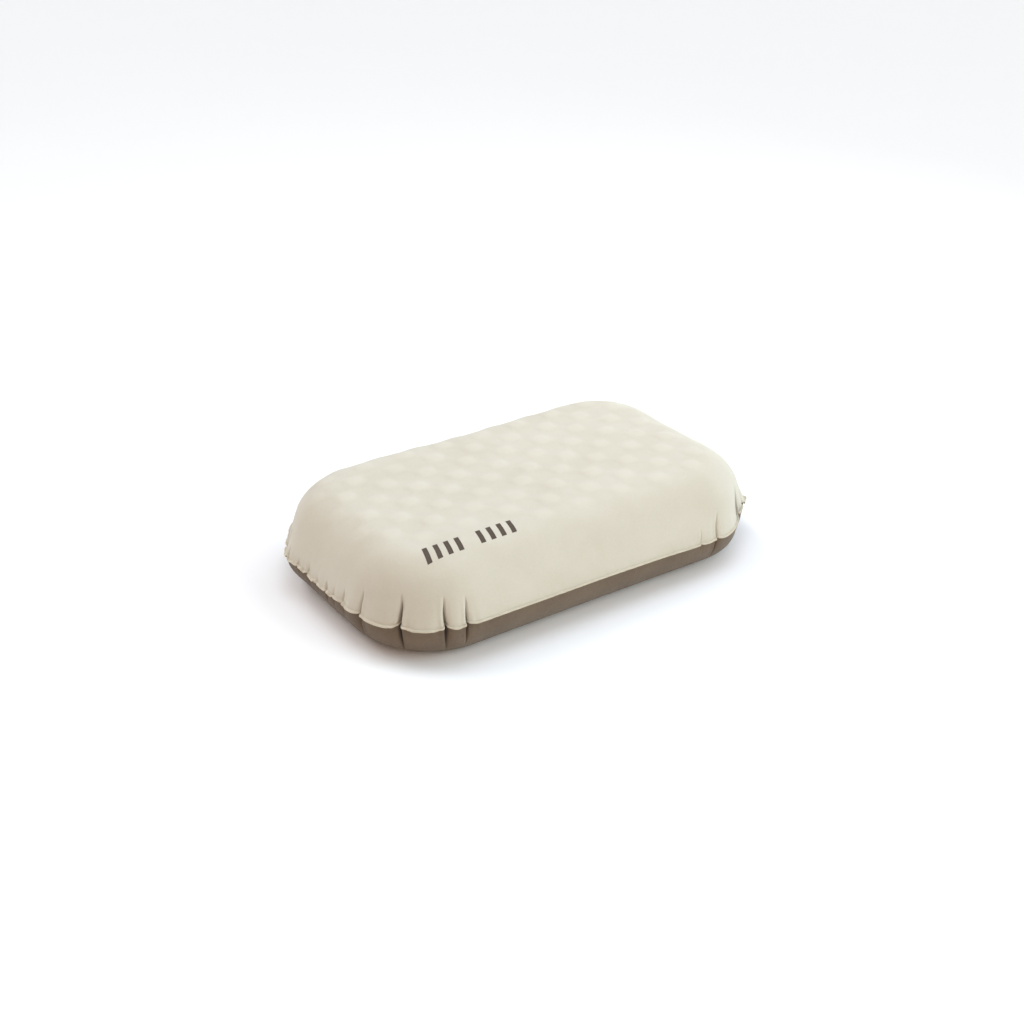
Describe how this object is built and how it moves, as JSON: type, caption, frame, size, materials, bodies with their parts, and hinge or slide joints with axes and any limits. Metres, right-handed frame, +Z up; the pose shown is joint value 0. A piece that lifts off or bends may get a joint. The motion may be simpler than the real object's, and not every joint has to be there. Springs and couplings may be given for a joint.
{
  "type": "camp pillow",
  "caption": "Self-inflating foam camp pillow with a waffle top, welded rim and a push-to-release air valve with tethered cap.",
  "frame": {"origin": "middle of the pillow's underside, where it rests on a flat surface", "axes": "+X along the pillow towards the end with the valve, +Y towards the long side without the printed mark, +Z up"},
  "size_m": [0.45, 0.284, 0.09],
  "materials": {
    "top_fabric": "brushed knit, matte, beige",
    "bottom_fabric": "plain knit, matte, brown",
    "air_film": "thin airtight film, satin",
    "weld": "fused film, satin",
    "foam": "open-cell foam, matte",
    "print_ink": "heat-printed ink, matte",
    "valve_soft": "moulded soft plastic, satin",
    "valve_hard": "moulded hard plastic, fine texture",
    "silicone": "translucent silicone, satin",
    "spring_wire": "drawn stainless wire",
    "screen": "woven screen, matte"
  },
  "bodies": {
    "root": {"top_panel": "top_fabric", "top_air_film": "air_film", "perimeter_weld": "weld", "bottom_air_film": "air_film", "bottom_panel": "bottom_fabric", "foam_core": "foam", "printed_mark": "print_ink", "valve_base": "valve_soft", "valve_core": "valve_hard", "valve_screen": "screen", "cap_tether": "valve_soft"},
    "button": {"release_button": "valve_hard", "check_diaphragm": "silicone", "stem_clip": "valve_hard", "return_spring": "spring_wire"},
    "cap": {"valve_cap": "valve_soft", "cap_seal_ring": "silicone"}
  },
  "joints": [
    {"name": "cap_hinge", "type": "hinge", "parent": "root", "child": "cap", "pos_m": [0.21954, 0.0145, 0.05014], "axis": [-0.309, 0, 0.9511], "range_deg": [0, 160]},
    {"name": "button_press", "type": "slide", "parent": "root", "child": "button", "axis": [-0.9511, 0, -0.309], "range_m": [0, 0.0022], "stiffness_N_per_m": 150, "springref_m": -0.002, "deforming": ["return_spring"]}
  ]
}
